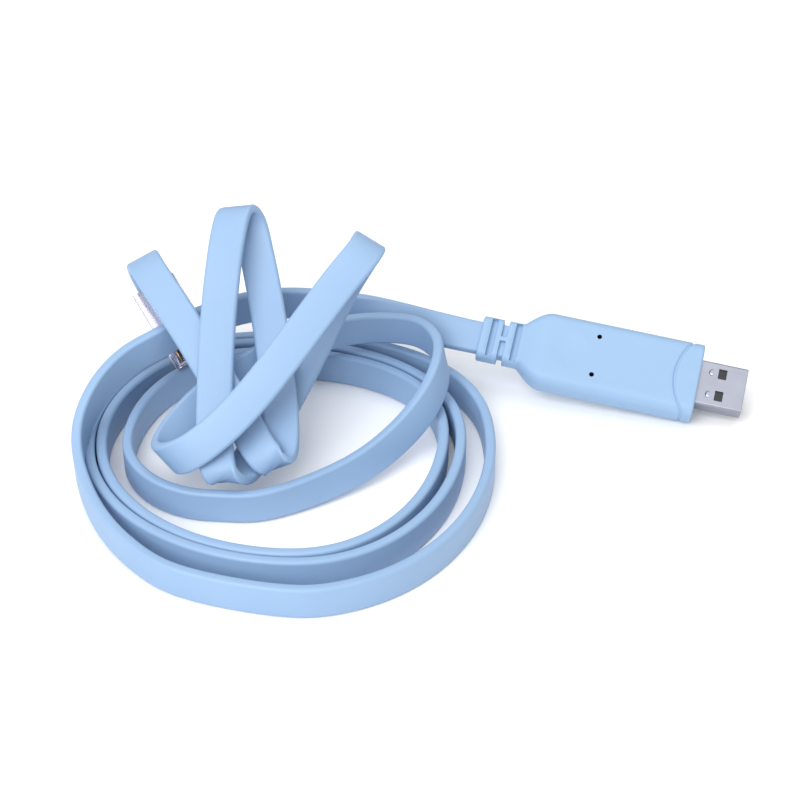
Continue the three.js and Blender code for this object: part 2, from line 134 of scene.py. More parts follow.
@dataclass(frozen=True)
class Finish:
    """What a real surface is made of and how it answers light.

    Attributes:
        name: The material's common name and how its surface was made.
        light: Lighter colour of its slow variation, as sRGB hex.
        dark: Darker colour of its slow variation.
        roughness: Least and greatest roughness.
        metallic: 1 for bare metal.
        ior: Index of refraction, left at the default for metals.
        glow: Share of light scattered under the surface.
        clear: Share of light let through.
        patch: The slow variation of colour and roughness.
        grain: The fine relief.
        attribute: The mesh attribute the patterns follow, or empty for Object coordinates.
    """

    name: str
    light: str
    dark: str
    roughness: tuple[float, float]
    metallic: float = 0.0
    ior: float = 1.5
    glow: float = 0.0
    clear: float = 0.0
    patch: Grain = Grain(0.012)
    grain: Grain = Grain(0.0006)
    attribute: str = ""

    def material(self) -> Material:
        """Builds the procedural material.

        Returns:
            The material, named for the finish.
        """
        made = bpy.data.materials.new(self.name)
        made.use_nodes = True
        tree = made.node_tree
        tree.nodes.clear()
        if self.attribute:
            where = add_node(
                tree, "ShaderNodeAttribute", attribute_name=self.attribute
            ).outputs["Vector"]
        else:
            where = add_node(tree, "ShaderNodeTexCoord").outputs["Object"]
        patch = self._noise(tree, where, self.patch)
        grain = self._noise(tree, where, self.grain)
        colour = add_node(
            tree,
            "ShaderNodeMix",
            {"Factor": patch, 6: srgb(self.dark), 7: srgb(self.light)},
            data_type="RGBA",
        )
        rough = add_node(
            tree,
            "ShaderNodeMapRange",
            {"Value": grain, "To Min": self.roughness[0], "To Max": self.roughness[1]},
        )
        bump = add_node(
            tree,
            "ShaderNodeBump",
            {"Height": grain, "Distance": self.grain.height, "Strength": 1.0},
        )
        shader = add_node(
            tree,
            "ShaderNodeBsdfPrincipled",
            {
                "Base Color": colour.outputs[2],
                "Roughness": rough.outputs["Result"],
                "Metallic": self.metallic,
                "IOR": self.ior,
                "Subsurface Weight": self.glow,
                "Subsurface Radius": (1.0, 1.1, 1.3),
                "Subsurface Scale": 0.8 * MM,
                "Transmission Weight": self.clear,
                "Normal": bump.outputs["Normal"],
            },
        )
        add_node(tree, "ShaderNodeOutputMaterial", {"Surface": shader.outputs["BSDF"]})
        return made

    @staticmethod
    def _noise(tree: NodeTree, where: NodeSocket, grain: Grain) -> NodeSocket:
        """Adds a noise of the grain's real size.

        Args:
            tree: The material's tree.
            where: The coordinates that it follows.
            grain: Its size, stretch and detail.

        Returns:
            The socket of its value.
        """
        scaled = add_node(tree, "ShaderNodeMapping", {"Vector": where, "Scale": grain.stretch})
        values = {"Vector": scaled.outputs[0], "Scale": 1.0 / grain.size, "Detail": grain.detail}
        return add_node(tree, "ShaderNodeTexNoise", values).outputs[0]


# Soft PVC, extruded through a die: a satin blue with the faintest lines along the lead.
LEAD_PVC = Finish(
    "soft_pvc_extruded",
    "#8FACCD",
    "#88A6C8",
    (0.42, 0.54),
    glow=0.04,
    patch=Grain(0.020),
    grain=Grain(0.0016, (1.0, 0.06, 1.0), height=0.00003),
    attribute="rest",
)
# Soft PVC, moulded in a fine spark-eroded tool: the same blue, a little duller.
MOULDED_PVC = Finish(
    "soft_pvc_moulded",
    "#90AECE",
    "#8AA9CA",
    (0.5, 0.62),
    glow=0.04,
    patch=Grain(0.018),
    grain=Grain(0.0005, height=0.000012),
    attribute="rest",
)
# Nickel plate on rolled sheet steel: cool, bright, with faint rolling lines to the tip.
NICKEL_STEEL = Finish(
    "nickel_plated_steel_rolled",
    "#9C9FAB",
    "#8D909C",
    (0.26, 0.38),
    metallic=1.0,
    patch=Grain(0.006),
    grain=Grain(0.0004, (0.08, 1.0, 1.0), height=0.000003),
    attribute="rest",
)
# Glass-filled nylon insulator, moulded: black and slightly glossy.
BLACK_NYLON = Finish(
    "nylon_moulded_black",
    "#202226",
    "#17181B",
    (0.4, 0.55),
    ior=1.53,
    grain=Grain(0.0003, height=0.000004),
)
# Painted shade: a near-black lining on the walls and floors of the light holes, standing in for the
# shade inside them.
LIGHT_HOLE_SHADE = Finish(
    "polypropylene_inner_mould_dark",
    "#101114",
    "#0B0C0E",
    (0.6, 0.75),
    grain=Grain(0.0004, height=0.000004),
)
# Gold flash on phosphor bronze, stamped: warm and bright.
GOLD_PLATE = Finish(
    "gold_plated_bronze_stamped",
    "#E8C27A",
    "#D9AE62",
    (0.18, 0.28),
    metallic=1.0,
    grain=Grain(0.0004, height=0.000002),
)
# Polycarbonate, moulded clear: water-clear with a cool lilac cast in its edges.
CLEAR_POLYCARBONATE = Finish(
    "polycarbonate_moulded_clear",
    "#E6E1F2",
    "#DCD6EA",
    (0.04, 0.1),
    ior=1.58,
    clear=1.0,
    grain=Grain(0.0008, height=0.000003),
)


def conductor_finish(name: str, light: str, dark: str) -> Finish:
    """Polyolefin insulation drawn over a core: glossy, in the colour of one conductor.

    Args:
        name: The colour in one word.
        light: Its lighter shade, as sRGB hex.
        dark: Its darker shade.

    Returns:
        The finish.
    """
    grain = Grain(0.0004, height=0.000004)
    return Finish(f"polyolefin_insulation_{name}", light, dark, (0.28, 0.38), grain=grain)


class Conductor(Enum):
    """The eight cores in order across the plug, with the light and dark of each."""

    GREY = ("#9A9DA2", "#85888D")
    BROWN = ("#9C6434", "#84522A")
    YELLOW = ("#E3BE2C", "#CDA71C")
    GREEN = ("#3A9646", "#2C8037")
    RED = ("#C53238", "#A8242A")
    BLACK = ("#26272B", "#17181A")
    ORANGE = ("#E27D2C", "#C9691C")
    BLUE = ("#2C60B4", "#1D4C98")


# Mesh helpers


def add_object(name: str, data: ID) -> Object:
    """Makes an object at the world origin and links it to the scene.

    Args:
        name: The object's name.
        data: Its mesh, camera or light.

    Returns:
        The object.
    """
    made = bpy.data.objects.new(name, data)
    bpy.context.scene.collection.objects.link(made)
    return made


def mesh_object(
    name: str, points: np.ndarray, faces: Iterable[Sequence[int]], smooth_angle: float = 40.0
) -> Object:
    """Makes a smooth-shaded mesh object with sharp edges past an angle.

    Args:
        name: The object's name.
        points: Vertex places, in metres.
        faces: Corner indices of each face.
        smooth_angle: Edges that turn more than this many degrees are sharp.

    Returns:
        The object.
    """
    mesh = bpy.data.meshes.new(name)
    mesh.from_pydata([tuple(map(float, p)) for p in points], [], [tuple(f) for f in faces])
    mesh.validate()
    made = add_object(name, mesh)
    shade(made, smooth_angle)
    return made


def ring_object(
    name: str, rings: Sequence[np.ndarray], smooth_angle: float, closed_along: bool = False
) -> Object:
    """Makes a mesh object whose skin runs over rings.

    Args:
        name: The object's name.
        rings: Rings of equal length, each shaped (corners, 3).
        smooth_angle: Edges that turn more than this many degrees are sharp.
        closed_along: Joins the last ring to the first instead of capping both.

    Returns:
        The object.
    """
    shaped = np.array(rings)
    return mesh_object(name, shaped.reshape(-1, 3), skin(shaped, closed_along), smooth_angle)


def shade(piece: Object, smooth_angle: float) -> None:
    """Shades a piece smooth, with sharp edges past smooth_angle degrees."""
    piece.data.polygons.foreach_set("use_smooth", [True] * len(piece.data.polygons))
    piece.data.set_sharp_from_angle(angle=math.radians(smooth_angle))


def skin(rings: np.ndarray, closed_along: bool = False) -> list[tuple[int, ...]]:
    """Faces over rings of equal length, with flat ends unless closed_along.

    Args:
        rings: Ring corners, shaped (rings, corners, 3), turning left about the way they follow.
        closed_along: Joins the last ring to the first instead of capping both.

    Returns:
        Faces that point outwards.
    """
    count, corners = rings.shape[:2]
    faces: list[tuple[int, ...]] = []
    for i in range(count if closed_along else count - 1):
        a, b = i * corners, ((i + 1) % count) * corners
        for j in range(corners):
            k = (j + 1) % corners
            faces.append((a + j, a + k, b + k, b + j))
    if not closed_along:
        faces.append(tuple(reversed(range(corners))))
        faces.append(tuple(range((count - 1) * corners, count * corners)))
    return faces


def set_rest(piece: Object, values: np.ndarray) -> None:
    """Stores where each vertex is on the piece itself, for its finish to follow."""
    layer = piece.data.attributes.new("rest", "FLOAT_VECTOR", "POINT")
    layer.data.foreach_set("vector", np.ascontiguousarray(values, np.float32).ravel())


def vertices_of(piece: Object) -> np.ndarray:
    """Reads where a piece's vertices are.

    Args:
        piece: A mesh object.

    Returns:
        Their places, shaped (vertices, 3).
    """
    out = np.zeros(len(piece.data.vertices) * 3, np.float32)
    piece.data.vertices.foreach_get("co", out)
    return out.reshape(-1, 3).astype(float)


def dress(piece: Object, finish: Material) -> None:
    """Gives every face of a piece one material."""
    piece.data.materials.clear()
    piece.data.materials.append(finish)


def cut(piece: Object, tools: Sequence[Object]) -> None:
    """Takes solids out of a piece.

    Args:
        piece: The piece.
        tools: The solids, which are removed afterwards.
    """
    for tool in tools:
        step = piece.modifiers.new("cut", "BOOLEAN")
        step.object, step.operation, step.solver = tool, "DIFFERENCE", "EXACT"
        step.material_mode = "TRANSFER"
    bake(piece)
    for tool in tools:
        bpy.data.objects.remove(tool)


def bake(piece: Object) -> None:
    """Replaces a piece's mesh by what its modifiers make of it.

    Args:
        piece: The piece, which has no modifiers afterwards.
    """
    bpy.context.view_layer.update()
    graph = bpy.context.evaluated_depsgraph_get()
    made = bpy.data.meshes.new_from_object(piece.evaluated_get(graph), depsgraph=graph)
    piece.modifiers.clear()
    piece.data = made


def weigh_normals(piece: Object) -> None:
    """Lets large flat faces keep their own shading next to rounded edges.

    Args:
        piece: The piece.
    """
    step = piece.modifiers.new("weigh", "WEIGHTED_NORMAL")
    step.keep_sharp, step.weight = True, 100
    bake(piece)


def block(low: Sequence[float], high: Sequence[float]) -> Object:
    """Makes a plain box.

    Args:
        low: Its corner with the least x, y and z.
        high: Its corner with the greatest.

    Returns:
        The box.
    """
    xs, ys, zs = zip(low, high)
    ring = [(0, 0), (1, 0), (1, 1), (0, 1)]
    points = np.array([(xs[i], ys[j], zs[k]) for k in (0, 1) for i, j in ring])
    faces = [(3, 2, 1, 0), (4, 5, 6, 7), (0, 1, 5, 4), (1, 2, 6, 5), (2, 3, 7, 6), (3, 0, 4, 7)]
    return mesh_object("block", points, faces)


def circle(radius: float, steps: int) -> np.ndarray:
    """Places on a circle about the origin, shaped (steps, 2)."""
    angles = np.linspace(0, 2 * math.pi, steps, endpoint=False)
    return radius * np.stack([np.cos(angles), np.sin(angles)], 1)


def rounded_ring(size: Size, along: tuple[int, int, int]) -> np.ndarray:
    """Corners of a rectangle with round corners, turning from +y to +z.

    Args:
        size: Its half size in y, its half size in z and its corner radius.
        along: Steps on each short side, round corner and long side.

    Returns:
        Places shaped (corners, 2), in y and z.
    """
    a, b, r = size
    short, corner, long_side = along
    # The middle of each round corner, then the end and the steps of the side after it.
    quarters = (
        ((a - r, b - r), (-a + r, b), long_side),
        ((-a + r, b - r), (-a, -b + r), short),
        ((-a + r, -b + r), (a - r, -b), long_side),
        ((a - r, -b + r), (a, b - r), short),
    )
    out: list[Spot] = []
    for turn, (middle, end, steps) in enumerate(quarters):
        for k in range(corner + 1):
            angle = math.pi / 2 * (turn + k / corner)
            out.append((middle[0] + r * math.cos(angle), middle[1] + r * math.sin(angle)))
        y, z = out[-1]
        for t in (k / steps for k in range(1, steps)):
            out.append((y + (end[0] - y) * t, z + (end[1] - z) * t))
    return np.array(out)


def at_x(x: Any, ring: np.ndarray) -> np.ndarray:
    """Stands a ring of y and z places at one x, or at an x for each corner."""
    return np.column_stack([np.broadcast_to(x, len(ring)), ring])


def smoothstep(t: float) -> float:
    """Eases from 0 to 1 as t does."""
    t = min(max(t, 0.0), 1.0)
    return t * t * (3 - 2 * t)


def unit(values: np.ndarray) -> np.ndarray:
    """The same directions, each of length 1."""
    return values / np.linalg.norm(values, axis=1)[:, None]


def run_along(points: np.ndarray) -> np.ndarray:
    """How far along a line of points each one lies."""
    return np.concatenate([[0.0], np.cumsum(np.linalg.norm(np.diff(points, axis=0), axis=1))])


# Geometry Nodes


def start_tree(name: str, inputs: dict[str, str]) -> tuple[NodeTree, Any]:
    """Starts a Geometry Nodes tree that takes geometry and a material and gives geometry.

    Args:
        name: The tree's name.
        inputs: The kind of each further input, such as Float, by its name.

    Returns:
        The tree, and its inputs' sockets by name.
    """
    tree = bpy.data.node_groups.new(name, "GeometryNodeTree")
    for label, kind in {"Geometry": "Geometry", **inputs, "Material": "Material"}.items():
        tree.interface.new_socket(label, in_out="INPUT", socket_type=f"NodeSocket{kind}")
    tree.interface.new_socket("Geometry", in_out="OUTPUT", socket_type="NodeSocketGeometry")
    return tree, add_node(tree, "NodeGroupInput").outputs


def end_tree(tree: NodeTree, shape: NodeSocket, finish: NodeSocket) -> None:
    """Makes a tree's instances real, gives them their material and puts them out.

    Args:
        tree: The tree.
        shape: The socket of what it made.
        finish: The socket of its material.
    """
    real = add_node(tree, "GeometryNodeRealizeInstances", {0: shape})
    dressed = add_node(
        tree, "GeometryNodeSetMaterial", {"Geometry": real.outputs[0], "Material": finish}
    )
    add_node(tree, "NodeGroupOutput", {0: dressed.outputs[0]})


def ribbon_tree() -> NodeTree:
    """A tree that turns a line of points, each with its width's direction, to a flat lead.

    Returns:
        The tree, with Width, Thickness, Corner and Material as named inputs.
    """
    sizes = {"Width": "Float", "Thickness": "Float", "Corner": "Float"}
    tree, given = start_tree("flat_lead_along_line", sizes)
    across = add_node(
        tree, "GeometryNodeInputNamedAttribute", {"Name": "across"}, data_type="FLOAT_VECTOR"
    )
    line = add_node(tree, "GeometryNodeMeshToCurve", {"Mesh": given["Geometry"]})
    turned = add_node(
        tree,
        "GeometryNodeSetCurveNormal",
        {"Curve": line.outputs[0], "Normal": across.outputs[0]},
        mode="FREE",
    )
    outline = add_node(
        tree,
        "GeometryNodeCurvePrimitiveQuadrilateral",
        {"Width": given["Width"], "Height": given["Thickness"]},
    )
    rounded = add_node(
        tree,
        "GeometryNodeFilletCurve",
        {"Curve": outline.outputs[0], "Radius": given["Corner"], "Count": 5},
        mode="POLY",
    )
    body = add_node(
        tree,
        "GeometryNodeCurveToMesh",
        {"Curve": turned.outputs[0], "Profile Curve": rounded.outputs[0], "Fill Caps": True},
    )
    end_tree(tree, body.outputs[0], given["Material"])
    return tree


def row_tree() -> NodeTree:
    """A tree that puts a copy of one piece at every point of a mesh.

    Returns:
        The tree, with Piece and Material as named inputs.
    """
    tree, given = start_tree("copies_on_points", {"Piece": "Object"})
    piece = add_node(tree, "GeometryNodeObjectInfo", {"Object": given["Piece"], "As Instance": True})
    placed = add_node(
        tree,
        "GeometryNodeInstanceOnPoints",
        {"Points": given["Geometry"], "Instance": piece.outputs["Geometry"]},
    )
    end_tree(tree, placed.outputs[0], given["Material"])
    return tree


def grow(piece: Object, tree: NodeTree, values: dict[str, Any]) -> None:
    """Runs a tree on a piece and keeps the result as its mesh.

    Args:
        piece: The object that the tree starts from.
        tree: The Geometry Nodes tree.
        values: Values by the name of the tree's input.
    """
    step = piece.modifiers.new("grow", "NODES")
    step.node_group = tree
    sockets = {s.name: s.identifier for s in tree.interface.items_tree if s.in_out == "INPUT"}
    for name, value in values.items():
        step[sockets[name]] = value
    bake(piece)


# The flat lead


@dataclass(frozen=True)
class Turn:
    """One turn of the coil on the floor, by its outermost spots.

    Attributes:
        near: The spot nearest to the camera.
        left: The one before it, or None where the lead comes down from the USB plug.
        right: The one after it, or None where the lead starts to rise.
        far: The one after right.
        fullness: How square the corner from right to far is, where 2 is an ellipse.
    """

    near: Spot
    left: Optional[Spot] = None
    right: Optional[Spot] = None
    far: Optional[Spot] = None
    fullness: float = 2.0


@dataclass
class FlatLead:
    """The eight-core flat lead, coiled and folded as it lies, from plug to plug."""

    width: float = 8.6 * MM
    thickness: float = 2.6 * MM
    corner: float = 0.85 * MM
    step: float = 1.1 * MM
    softness: float = 1.8 * MM
    points_per_quarter: int = 6
    from_usb: tuple[Row, ...] = (
        (-0.043, 0.0107, 0.0143, 0.1, 0.61, 0.78),
        (-0.055, 0.0156, 0.0146, 0.03, 0.62, 0.79),
        (-0.0677, 0.0179, 0.0162, 0, 0, 1),
        (-0.0795, 0.0164, 0.0186, 0, 0, 1),
        (-0.0887, 0.0124, 0.0208, 0, 0, 1),
        (-0.0977, 0.0052, 0.0232, 0, 0, 1),
        (-0.1057, -0.0017, 0.0242, 0, 0, 1),
        (-0.1124, -0.0084, 0.0241, 0, 0, 1),
        (-0.1196, -0.0129, 0.0223, 0, 0, 1),
        (-0.1248, -0.0183, 0.0198, 0, 0, 1),
        (-0.1281, -0.0232, 0.0166, 0, 0, 1),
        (-0.1302, -0.0288, 0.013, 0, 0, 1),
        (-0.1302, -0.0355, 0.0101, 0, 0, 1),
        (-0.1278, -0.0437, 0.0077, 0, 0, 1),
        (-0.123, -0.0533, 0.0059, 0, 0, 1),
        (-0.1157, -0.0627, 0.0049, 0, 0, 1),
        (-0.1049, -0.0713, 0.0044, 0, 0, 1),
    )
    turns: tuple[Turn, ...] = (
        Turn((-0.0765, -0.0786), None, (-0.0315, -0.0264), (-0.0895, 0.0171), 2.4),
        Turn((-0.0765, -0.0697), (-0.1291, -0.024), (-0.0386, -0.0234), (-0.0895, 0.0142), 2.1),
        Turn((-0.0775, -0.0667), (-0.1262, -0.0234), (-0.0428, -0.0219), (-0.0895, 0.0101), 2.2),
        Turn((-0.0965, -0.0464), (-0.1199, -0.0248)),
    )
    rising_turn: tuple[Row, ...] = (
        (-0.086, -0.0465, 0.0046, 0, 0, 1),
        (-0.0655, -0.0362, 0.0058, -0.1, 0.15, 0.98),
        (-0.0545, -0.0274, 0.0089, -0.24, 0.14, 0.96),
        (-0.047, -0.0192, 0.0136, -0.33, 0.09, 0.94),
        (-0.0435, -0.0098, 0.0167, -0.29, 0, 0.96),
        (-0.044, -0.0002, 0.0164, -0.1, 0, 1),
        (-0.049, 0.008, 0.0156, 0, 0, 1),
        (-0.0575, 0.0104, 0.0151, 0, 0, 1),
        (-0.0674, 0.0081, 0.0158, 0, 0, 1),
        (-0.0788, 0.0002, 0.0173, 0, 0.1, 1),
        (-0.0899, -0.0128, 0.0198, -0.45, 0.29, 0.84),
        (-0.1004, -0.0202, 0.0159, -0.58, 0.33, 0.75),
    )
    standing_folds: tuple[Row, ...] = (
        (-0.1075, -0.0302, 0.0129, -0.68, 0.45, 0.58),
        (-0.1088, -0.0389, 0.013, -0.68, 0.45, 0.58),
        (-0.1038, -0.0435, 0.0173, -0.72, 0.43, 0.55),
        (-0.0975, -0.0416, 0.0211, -0.75, 0.4, 0.52),
        (-0.0884, -0.0354, 0.0277, -0.79, 0.38, 0.49),
        (-0.0672, -0.0131, 0.0462, -0.82, 0.35, 0.45),
        (-0.0614, -0.0061, 0.0502, -0.85, 0.33, 0.42),
        (-0.0609, -0.0017, 0.0491, -0.86, 0.32, 0.41),
        (-0.0623, -0.0005, 0.0453, -0.87, 0.31, 0.39),
        (-0.0673, -0.0032, 0.0376, -0.87, 0.3, 0.38),
        (-0.0761, -0.0125, 0.0225, -0.89, 0.28, 0.36),
        (-0.0824, -0.0218, 0.0143, -0.91, 0.26, 0.33),
        (-0.0877, -0.0328, 0.0105, -0.94, 0.21, 0.27),
        (-0.0919, -0.0421, 0.01, -0.98, 0.13, 0.16),
        (-0.0953, -0.0455, 0.0127, -1, 0.04, 0.05),
        (-0.0968, -0.0406, 0.0159, -1, 0, 0),
        (-0.0974, -0.0235, 0.027, -1, -0.01, -0.01),
        (-0.097, -0.0081, 0.0365, -1, -0.01, -0.01),
        (-0.0953, 0.0068, 0.0467, -1, -0.01, -0.01),
        (-0.0939, 0.013, 0.0489, -1, -0.01, -0.01),
        (-0.0914, 0.0144, 0.0456, -1, -0.04, -0.05),
        (-0.089, 0.0087, 0.0387, -0.99, -0.08, -0.1),
        (-0.086, -0.0032, 0.0299, -0.99, -0.09, -0.11),
        (-0.0834, -0.0183, 0.0225, -0.99, -0.09, -0.11),
        (-0.0817, -0.033, 0.0155, -0.98, -0.11, -0.14),
        (-0.0825, -0.0409, 0.0124, -0.97, -0.16, -0.2),
        (-0.0854, -0.0402, 0.0144, -0.91, -0.26, -0.33),
        (-0.0898, -0.0332, 0.0171, -0.87, -0.31, -0.39),
        (-0.1027, -0.0145, 0.0284, -0.86, -0.32, -0.41),
        (-0.1159, 0.0056, 0.0367, -0.87, -0.3, -0.38),
        (-0.1175, 0.0101, 0.036, -0.87, -0.3, -0.38),
        (-0.1178, 0.0133, 0.0311, -0.87, -0.3, -0.38),
    )

    def rows(self, start: Sequence[Row], end: Sequence[Row]) -> np.ndarray:
        """Every row of the route in order, from the USB plug to the modular plug.

        Args:
            start: Rows that leave the USB plug.
            end: Rows that enter the modular plug.

        Returns:
            Rows shaped (rows, 6).
        """
        out: list[Row] = [*start, *self.from_usb]
        for before, turn in zip((None, *self.turns), self.turns):
            if turn.left:
                out += self._quarter(before.far, turn.left, True)
                out += self._quarter(turn.left, turn.near, False)
            if turn.right:
                out += self._quarter(turn.near, turn.right, True)
                out += self._quarter(turn.right, turn.far, False, turn.fullness)
        out.append((*self.turns[-1].near, self.width / 2, 0, 0, 1))
        return np.array([*out, *self.rising_turn, *self.standing_folds, *end], float)

    def _quarter(self, a: Spot, b: Spot, along_first: bool, fullness: float = 2.0) -> list[Row]:
        """Rows of a quarter between two outermost points of a turn, the last left out.

        Args:
            a: The first outermost point.
            b: The second.
            along_first: The turn leaves a along x rather than along y.
            fullness: How square the corner is, where 2 is an ellipse.

        Returns:
            Rows on edge on the floor.
        """
        out: list[Row] = []
        for k in range(self.points_per_quarter):
            angle = math.pi / 2 * k / self.points_per_quarter
            s, c = math.sin(angle) ** (2 / fullness), math.cos(angle) ** (2 / fullness)
            x = a[0] + (b[0] - a[0]) * s if along_first else b[0] + (a[0] - b[0]) * c
            y = b[1] + (a[1] - b[1]) * c if along_first else a[1] + (b[1] - a[1]) * s
            out.append((x, y, self.width / 2, 0, 0, 1))
        return out

    def sample(self, rows: np.ndarray) -> tuple[np.ndarray, np.ndarray]:
        """Runs a smooth line through the rows, at even steps.

        Args:
            rows: The route's rows.

        Returns:
            Its points, and the unit direction of the width at each.
        """
        places = []
        for i in range(len(rows) - 1):
            p = [rows[max(0, min(len(rows) - 1, i + k))] for k in (-1, 0, 1, 2)]
            knots = [0.0]
            for k in range(3):
                gap = np.linalg.norm(p[k + 1][:3] - p[k][:3])
                knots.append(knots[-1] + max(gap, 1e-6) ** 0.5)
            count = max(2, int(np.ceil(np.linalg.norm(p[2][:3] - p[1][:3]) / (self.step / 4))))
            for t in knots[1] + (knots[2] - knots[1]) * np.arange(count) / count:
                places.append(catmull_rom(p, knots, t))
        places.append(rows[-1])
        fine = np.array(places)
        run = run_along(fine[:, :3])
        even = np.linspace(0, run[-1], int(run[-1] / self.step) + 1)
        spread = self.softness / self.step
        out = soften(np.stack([np.interp(even, run, fine[:, k]) for k in range(6)], 1), spread)
        tangent = unit(np.gradient(out[:, :3], axis=0))
        across = unit(out[:, 3:] - (out[:, 3:] * tangent).sum(1)[:, None] * tangent)
        across = soften(across, 2 * spread)
        across -= (across * tangent).sum(1)[:, None] * tangent
        return out[:, :3], unit(across)

    def build(self, rows: np.ndarray, finish: Material) -> tuple[Object, np.ndarray]:
        """Makes the lead's mesh along the rows.

        Args:
            rows: The route's rows.
            finish: The lead's material.

        Returns:
            The piece and its centre line.
        """
        points, across = self.sample(rows)
        mesh = bpy.data.meshes.new("flat_lead")
        edges = [(i, i + 1) for i in range(len(points) - 1)]
        mesh.from_pydata([tuple(p) for p in points], edges, [])
        layer = mesh.attributes.new("across", "FLOAT_VECTOR", "POINT")
        layer.data.foreach_set("vector", np.ascontiguousarray(across, np.float32).ravel())
        piece = add_object("flat_lead", mesh)
        sizes = {"Width": self.width, "Thickness": self.thickness, "Corner": self.corner}
        grow(piece, ribbon_tree(), {**sizes, "Material": finish})
        self._store_rest(piece, points, across)
        shade(piece, 60)
        return piece, points

    @staticmethod
    def _store_rest(piece: Object, points: np.ndarray, across: np.ndarray) -> None:
        """Stores each vertex's place across, along and through the lead.

        Args:
            piece: The lead.
            points: Its centre line.
            across: The direction of its width at each point.
        """
        places = vertices_of(piece)
        corners = len(places) // len(points)
        ring = np.minimum(np.arange(len(places)) // corners, len(points) - 1)
        offset = places - points[ring]
        normal = np.cross(unit(np.gradient(points, axis=0)), across)
        sideways, through = ((offset * way[ring]).sum(1) for way in (across, normal))
        set_rest(piece, np.stack([sideways, run_along(points)[ring], through], 1))


def catmull_rom(p: Sequence[np.ndarray], knots: Sequence[float], t: float) -> np.ndarray:
    """Finds a point of the curve that runs through four places.

    Args:
        p: The places.
        knots: The curve's parameter at each of them.
        t: The parameter of the point, between the second knot and the third.

    Returns:
        The point.
    """

    def blend(a: np.ndarray, b: np.ndarray, ta: float, tb: float) -> np.ndarray:
        """Straight blend of a and b at t."""
        return (a * (tb - t) + b * (t - ta)) / (tb - ta)

    a = [blend(p[k], p[k + 1], knots[k], knots[k + 1]) for k in range(3)]
    b = [blend(a[k], a[k + 1], knots[k], knots[k + 2]) for k in range(2)]
    return blend(b[0], b[1], knots[1], knots[2])


def soften(values: np.ndarray, steps: float) -> np.ndarray:
    """Smooths values along their first axis by a bell curve, with both ends kept.

    Args:
        values: Values shaped (places, numbers).
        steps: The bell curve's width in places.

    Returns:
        The smoothed values, shaped alike.
    """
    reach = int(3 * steps) + 1
    bell = np.exp(-0.5 * (np.arange(-reach, reach + 1) / steps) ** 2)
    bell /= bell.sum()
    before = 2 * values[0] - values[reach:0:-1]
    after = 2 * values[-1] - values[-2 : -reach - 2 : -1]
    padded = np.concatenate([before, values, after])
    return np.stack([np.convolve(column, bell, "valid") for column in padded.T], 1)


# The plugs


@dataclass(frozen=True)
class Pose:
    """Where a plug lies: the place of its reference point and its turns in degrees."""

    at: tuple[float, float, float]
    roll: float
    pitch: float
    yaw: float

    def matrix(self) -> Matrix:
        """The matrix from the plug's own frame to the part's."""
        turn = Euler([math.radians(a) for a in (self.roll, self.pitch, self.yaw)], "XYZ")
        return Matrix.Translation(self.at) @ turn.to_matrix().to_4x4()

    def row(self, x: float, side: float) -> Row:
        """Finds the lead's row at a point of the plug's own axis.

        Args:
            x: Where the point is on that axis.
            side: 1 where the lead's width points along the plug's y, and -1 against it.

        Returns:
            The row.
        """
        m = self.matrix()
        return (*(m @ Vector((x, 0, 0))), *(m.to_3x3() @ Vector((0, side, 0))))

    def settle(self, piece: Object) -> None:
        """Moves a piece's mesh from the plug's own frame to where it lies."""
        piece.data.transform(self.matrix())
        piece.data.update()


class Form(Enum):
    """What shapes a ring of the USB housing besides its size."""

    PLAIN = "nothing"
    SLOT = "a flexing slot in both faces"
    NOTCH = "a notch all round, with a web across it in both faces"
    DISH = "the thumb dish in the upper face"
    NOSE = "a bow towards the tip at both edges, and the groove"


@dataclass(frozen=True)
class Station:
    """One ring of the USB housing.

    Attributes:
        x: Its place on the plug's axis.
        size: Its half width, half height and corner radius.
        form: What shapes it besides.
        depth: How much of the cut is in, from 0 to 1.
    """

    x: float
    size: Size
    form: Form = Form.PLAIN
    depth: float = 0.0


